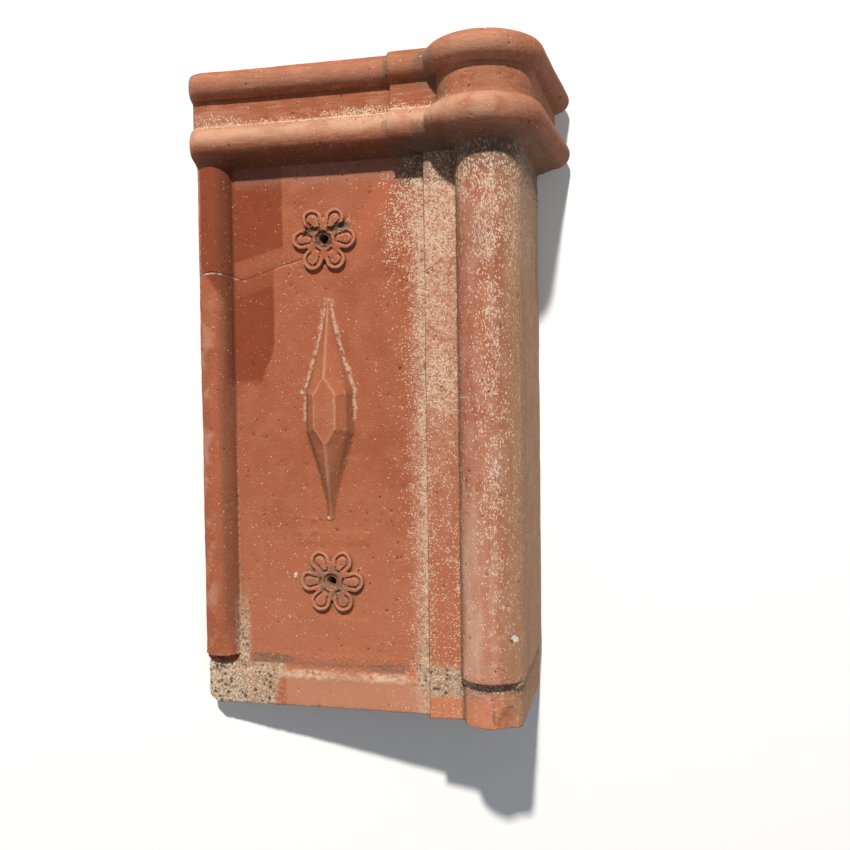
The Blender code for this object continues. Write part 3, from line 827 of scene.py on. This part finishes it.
# The near-black spots at the upper nail hole and along its broken grooves are dirt with painted shadow.
DIRT_SPOTS = [(GREY_DIRT_AND_SHADE, (79.5, 74.7), (8.0, 8.0), 0.65), (NEST_DIRT_AND_SHADE, (77.9, 272.6), (5.4, 5.4), 0.95),
              (GREY_DIRT_AND_SHADE, (87.5, 68), (9, 6), 0.35), (GREY_DIRT_AND_SHADE, (69, 79), (6, 7), 0.40),
              (NEST_DIRT_AND_SHADE, (83.5, 278.2), (4.0, 1.9), 0.95), (NEST_DIRT_AND_SHADE, (89.0, 280.2), (4.0, 1.8), 0.95),
              (NEST_DIRT_AND_SHADE, (70.5, 278.0), (5.0, 2.0), 0.90), (NEST_DIRT_AND_SHADE, (67.5, 276.4), (3.0, 1.6), 0.80),
              (GREY_DIRT_AND_SHADE, (88.5, 278.5), (6.0, 3.2), 0.45), (JOINT_DIRT, (120.8, 363), (2.4, 10), 0.75),
              (JOINT_DIRT, (119.5, 324), (2.4, 9), 0.60), (JOINT_DIRT, (144, 358), (7, 11), 0.75),
              (JOINT_DIRT, (142, 322), (8, 8), 0.70), (JOINT_DIRT, (121.1, 345), (1.2, 9), 0.85),
              (JOINT_DIRT, (151, 344), (5, 8), 0.65)]
for dirt, place, reach, strength in DIRT_SPOTS:
    rough = calc("MULTIPLY_ADD", rise(gaps, 0.38, 0.58), 0.5, 0.5)
    colour = coat(colour, dirt, both(spot(place, reach, 0.3), strength, rough, topside))
band_ends = either(both(spot((40, 27.5), (17, 3.0), 0.35), 0.65),
                   both(spot((112, 24.5), (13, 3.0), 0.35), 0.6))
band_line = either(band_ends, both(span(shaky(along, 0.5), 23.8, 26.0, 1.0), span(across, 36, 124, 4), 0.50))
band_share = calc("MULTIPLY_ADD", rise(gaps, 0.36, 0.56), 0.5, 0.5)
colour = coat(colour, GREY_DIRT_AND_SHADE, both(band_line, topside, band_share))
# Grey dirt and painted shadow at the end of the roll, where the main roll's end shades the spigot.
roll_end = both(span(shaky(along, 1.6), 19.5, 25.5, 1.8), rise(across, 154, 160), topside)
colour = coat(colour, GREY_DIRT_AND_SHADE, both(roll_end, calc("MULTIPLY_ADD", rise(gaps, 0.36, 0.56), 0.45, 0.30)))
colour = coat(colour, GREY_DIRT_AND_SHADE, both(spot((176.8, 8), (1.2, 5.5), 0.35), topside, 0.5))
# Grey painted shade darkens the strip, the roll and the edge of the panel in the collar's shadow.
under_collar = both(span(along, 300, 322, 3), rise(across, 114, 128))
colour = coat(colour, GREY_DIRT_AND_SHADE, both(under_collar, topside, 0.50))
print("dirt wired")

# %% [markdown]
# ## Lime speckle
# Rain drags lime over the tile and leaves it as thousands of cream specks, thickest on both sides of the
# step to the strip. The specks are the dots of cell patterns: fine ones for the thick speckle, drawn out on
# the roll, and larger ones for single crumbs. A mask says what share of the ground is covered, clouds
# gather it into clusters, and a dot stays only where its number by chance lies under that share.

# %% Speckle
CREAM = (0.640, 0.480, 0.335, 1)
by_step = both(rise(shaky(across, 1.8), 126, 137), rise(across, *STEP_EDGE), body)
high_up = both(rise(shaky(along, 5, wide_swing), 236, 272), rise(along, 310, 303))
upper_share = rise(shaky(along, 6, wide_swing), 190, 236)
strip_blot = spot((146, 190), (13, 20), 0.3)
thick_step = both(rise(shaky(across, 2.5, wide_swing), 119, 134), rise(across, *STEP_EDGE), body)


def more(share, *masks):
    """Share of the ground that is covered, raised where these masks say more."""
    return calc("MAXIMUM", share, both(*masks))


cover = both(by_step, 0.50)
cover = more(cover, thick_step, high_up, 0.70)
cover = more(cover, thick_step, 0.26)
cover = more(cover, rise(shaky(across, 1.6), 131, 135), rise(across, *STEP_EDGE), body, 0.88)
wide_step = both(rise(shaky(across, 4, wide_swing), 108, 124), rise(across, *STEP_EDGE), body)
cover = more(cover, wide_step, high_up, 0.42)
cover = more(cover, on_strip, high_up, 0.72)
cover = more(cover, on_strip, strip_blot, 0.66)
cover = more(cover, on_strip, upper_share, 0.32)
cover = more(cover, on_strip, rise(across, 148, 139), 0.26)
cover = more(cover, on_strip, 0.10)
cover = more(cover, on_strip, rise(across, 150, 156), rise(along, 130, 90), 0.34)
cover = more(cover, on_roll, high_up, rise(shaky(across, 2.5, wide_swing), 163, 176), 0.42)
cover = more(cover, on_roll, span(shaky(along, 2.5), 284, 305, 4), 0.50)
cover = more(cover, on_roll, span(shaky(across, 3.5, wide_swing), 170, 184, 5), rise(along, 20, 120), 0.30)
cover = more(cover, on_roll, rise(along, 20, 60), 0.07)
cover = more(cover, roll_end, 0.30)
cover = more(cover, on_roll, rise(along, 300, 306), 0.16)
cover = more(cover, on_strip, rise(along, 300, 306), 0.34)
cover = more(cover, on_collar, span(across, 84, 124, 12), span(along, 335.5, 343, 2.5), 0.60)
cover = more(cover, on_collar, span(across, -4, 30, 10), span(along, 337, 345, 2.5), 0.34)
cover = more(cover, on_collar, span(along, 336.5, 341, 1.5), off_roll, 0.30)
cover = both(cover, calc("MULTIPLY_ADD", rise(cluster, 0.36, 0.62), 0.62, 0.55), topside)
cover = both(cover, calc("MULTIPLY_ADD", rise(along, 17, 21), 0.75, 0.25))
grit, grit_chance = cells(0.70, 0.75)
long_grit, long_chance = cells(0.62, 0.75, (1, 1.9, 1))
beside_roll = calc("SUBTRACT", 1.0, on_roll)
chosen = under(grit_chance, cover)
long_chosen = under(long_chance, cover)
fine_specks = either(both(grit, chosen, beside_roll), both(long_grit, long_chosen, on_roll))
scattered = both(body, 0.045)
scattered = more(scattered, on_collar, 0.03)
scattered = more(scattered, by_step, 0.7)
scattered = more(scattered, on_strip, 0.4)
scattered = more(scattered, rise(shaky(across, 4, wide_swing), 100, 128), body, 0.34)
scattered = more(scattered, on_roll, rise(along, 10, 60), 0.18)
mid_left = both(span(shaky(along, 4, wide_swing), 45, 112, 8), span(across, 34, 74, 10), body)
scattered = more(scattered, mid_left, 0.20)
scattered = more(scattered, span(along, 230, 262, 8), span(across, 46, 70, 6), body, 0.24)
upper_petals = either(spot((88, 280), (10, 8), 0.2), spot((73, 285), (8, 6), 0.2))
scattered = more(scattered, upper_petals, topside, 0.45)
scattered = more(scattered, spot((79, 75), (15, 13), 0.2), topside, 0.16)
scattered = both(scattered, calc("MULTIPLY_ADD", rise(cluster, 0.36, 0.66), 1.4, 0.3))
scattered = both(scattered, calc("MULTIPLY_ADD", kiln_patch, -0.6, 1.0))
crumbs, crumb_chance = cells(1.25, 0.25)
crumb_mask = both(crumbs, under(crumb_chance, scattered, 0.01), topside)
speckle = either(fine_specks, crumb_mask)
colour = coat(colour, CREAM, both(speckle, 0.86))
# Painted shade, with grime, deepens the collar's shadow on the roll.
SHADOW_AND_GRIME_GREY = (0.085, 0.075, 0.068, 1)
roll_shadow_and_grime = both(span(shaky(along, 1.0), 309, 324, 2.0), rise(across, 157, 162), body)
colour = coat(colour, SHADOW_AND_GRIME_GREY, both(roll_shadow_and_grime, rise(gaps, 0.30, 0.60), 0.60))
print(len(wires.nodes), "nodes with the speckle")

# %% [markdown]
# ## Lichen, stains and pits
# A crust of pale lichen covers the left of the spigot and the end of the strip, with dark spots in it.
# Single dark marks are scattered over the rest. A painted highlight in the colour of pale dust follows the
# edge of the spigot's band that faces the lamp. Pale lines follow the bead, the joint of the collar and the
# foot of the lozenge, and a dark line of dirt and painted shade follows the crease at the step to the strip.

# %% Lichen and the last marks
LICHEN = (0.400, 0.285, 0.185, 1)
LICHEN_SPOT = (0.070, 0.056, 0.026, 1)
PALE_LICHEN_AND_HIGHLIGHT = (0.640, 0.560, 0.440, 1)
SOOT_AND_SHADE = (0.030, 0.024, 0.018, 1)
lichen_end = calc("MULTIPLY_ADD", rise(along, 24, 4), -5.0, 48.5)
left_crust = rise(shaky(calc("SUBTRACT", across, lichen_end), 0.8), 1.5, -1.5)
lichen = either(both(left_crust, rise(shaky(along, 1.0), 26, 23)),
                both(span(across, 138, 157, 0.5), span(shaky(along, 1.5), 13, 30, 1.5)),
                both(span(shaky(across, 1.2), 20, 27, 1.5), rise(shaky(along, 4), 78, 34), 0.85),
                both(span(shaky(across, 1.5), 130, 139, 2), rise(along, 60, 26), rise(along, 10, 18), 0.8))
lichen = both(lichen, topside)
colour = coat(colour, LICHEN, both(lichen, calc("MULTIPLY_ADD", rise(gaps, 0.36, 0.56), 0.50, 0.35)))
pale_share = calc("MULTIPLY_ADD", rise(across, 40, 4), 0.35, 0.30)
lichen_crumbs = both(grit, under(grit_chance, pale_share))
colour = coat(colour, PALE_LICHEN_AND_HIGHLIGHT, both(lichen, lichen_crumbs, 0.75))
lichen_dots, lichen_chance = cells(2.2, 0.44)
dense_dots = calc("MULTIPLY_ADD", rise(cluster, 0.42, 0.58), 0.55, 0.10)
lichen_dark = both(lichen_dots, under(lichen_chance, dense_dots, 0.02))
colour = coat(colour, LICHEN_SPOT, both(lichen, lichen_dark, 0.85))
# Painted highlight, in the colour of pale dust, on the edge of the spigot's band that faces the lamp.
band_edge_highlight = both(span(shaky(along, 0.8), 16.5, 21.5, 1.5), span(across, 44, 125, 6), topside)
edge_share = calc("MULTIPLY_ADD", either(span(across, 50, 76, 6), span(across, 100, 124, 6)), 0.45, 0.40)
colour = coat(colour, PALE_DUST_AND_HIGHLIGHT, both(band_edge_highlight, rise(gaps, 0.26, 0.62), edge_share))
bead_line = both(span(shaky(across, 0.3), 20.9, 21.9, 0.5), rise(along, 29, 34), rise(along, 200, 90))
bead_line = both(bead_line, topside)
colour = coat(colour, LICHEN, both(bead_line, rise(gaps, 0.34, 0.60), 0.6))
collar_line = both(span(shaky(along, 0.5), 338.0, 339.2, 0.6), rise(across, 157, 150), on_collar)
line_share = calc("MULTIPLY_ADD", rise(across, 20, 90), 0.30, 0.55)
colour = coat(colour, CREAM, both(collar_line, rise(gaps, 0.28, 0.50), line_share))
marks, mark_chance = cells(3.4, 0.16)
colour = coat(colour, SOOT_AND_SHADE, both(marks, rise(mark_chance, 0.970, 0.976), topside, 0.75))
base_line = both(span(across, 61, 97), span(along, 168, 239), rise(height, 1.6, 0.8))
base_line = both(base_line, rise(hollow_fine, 0.01, 0.08))
colour = coat(colour, CREAM, both(base_line, topside, rise(gaps, 0.36, 0.56), 0.60))
# Dirt and painted shade in the crease at the foot of the step.
step_line = both(span(shaky(across, 0.15), 137.15, 138.45, 0.35), body)
colour = coat(colour, DIRT_AND_SHADE_BROWN, both(step_line, 0.85))
lime_lump = either(spot((188.2, 50.4), (1.6, 2.1), 0.35, 20),
                   both(spot((77.9, 111.3), (0.9, 0.9), 0.15), 0.8),
                   both(spot((56.6, 77.3), (1.0, 1.8), 0.2, -20), 0.7))
colour = coat(colour, LIME_LUMP, both(lime_lump, topside, 0.9))
colour = coat(colour, DIRT_AND_SHADE_BROWN, both(spot((186.9, 49.3), (0.8, 1.1), 0.2), topside, 0.8))
scratch = either(spot((155, 178.8), (3.4, 0.35), 0.05, 12), spot((161.8, 180.5), (4.2, 0.35), 0.05, 3))
colour = coat(colour, BLOOM, both(scratch, topside, 0.9))
print("lichen and marks wired")

# %% [markdown]
# ## The crack in colour
# The crack is dark inside with dirt and painted shade, and its lower lip, which faces the lamp, carries a
# painted highlight. A curve node holds the crack's course across the face, so the distance from it is a
# plain subtraction.

# %% Crack line
COURSE_LOW = 248.0
COURSE_HIGH = 264.0
COURSE_SPAN = 70.0
course = work("FloatCurve", {"Value": calc("DIVIDE", across, COURSE_SPAN)})
curve = course.node.mapping.curves[0]
stops = [(0.0, CRACK[0][1])] + [(x / COURSE_SPAN, y) for x, y, z in CRACK if x > 0]
for number, (x, y) in enumerate(stops):
    stop = curve.points[number] if number < 2 else curve.points.new(x, 0.5)
    stop.location = (x, (y - COURSE_LOW) / (COURSE_HIGH - COURSE_LOW))
for stop in curve.points:
    stop.handle_type = "VECTOR"
course.node.mapping.update()
line = calc("MULTIPLY_ADD", course, COURSE_HIGH - COURSE_LOW, COURSE_LOW)
away = shaky(calc("SUBTRACT", along, line), 0.10)
on_face = both(rise(across, 65, 63), topside)
faint = calc("MULTIPLY_ADD", either(rise(across, 30, 24), rise(across, 44, 54)), 0.6, 0.4)
lip = either(span(across, 6, 17, 2), both(span(across, 21, 29, 2), 0.6), both(rise(across, 46, 50), 0.25))
# Painted highlight on the lower lip of the crack, which faces the lamp.
crack_lip_highlight = both(span(away, -1.2, -0.5, 0.4), on_face, rise(gaps, 0.38, 0.56), lip)
colour = coat(colour, PALE_LICHEN_AND_HIGHLIGHT, both(crack_lip_highlight, 0.8))
# Dirt and painted shade inside the crack.
colour = coat(colour, SOOT_AND_SHADE, both(span(away, -0.28, 0.28, 0.25), on_face, faint, 0.85))
print(len(stops), "stops on the course of the crack")

# %% [markdown]
# ## Underneath
# Nobody cleans the underside. It has the same clay under dust, with old mortar and dark mould in patches.

# %% Underside, roughness and grain
MORTAR = (0.400, 0.340, 0.270, 1)
DUST = (0.340, 0.200, 0.130, 1)
colour = coat(colour, DUST, both(underneath, rise(tint, 0.36, 0.60), 0.75))
colour = coat(colour, MORTAR, both(underneath, rise(tone, 0.56, 0.60), rise(gaps, 0.34, 0.50), 0.85))
colour = coat(colour, GREY_DIRT_AND_SHADE, both(underneath, rise(cluster, 0.54, 0.68), 0.6))
wires.links.new(colour, shader.inputs["Base Color"])
dull = work("MapRange", {"Value": grain, "From Min": 0.3, "From Max": 0.7, "To Min": 0.80, "To Max": 0.98})
wires.links.new(dull, shader.inputs["Roughness"])
relief = calc("MULTIPLY_ADD", cloud(2.4, 3), 0.4, cloud(0.9, 3))
bump = work("Bump", {"Height": relief, "Strength": 0.75, "Distance": 0.40 * MM})
wires.links.new(bump, shader.inputs["Normal"])
shader.inputs["Specular IOR Level"].default_value = 0.2
clay.data.materials.append(clay_finish)
print(len(wires.nodes), "nodes in the finish")

# %% [markdown]
# ## Tie the piece to the frame
# The piece rides on the one body of the tile, and stands for its plain solid.

# %% Tie and finish
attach(clay, "root")
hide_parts("verge_tile")
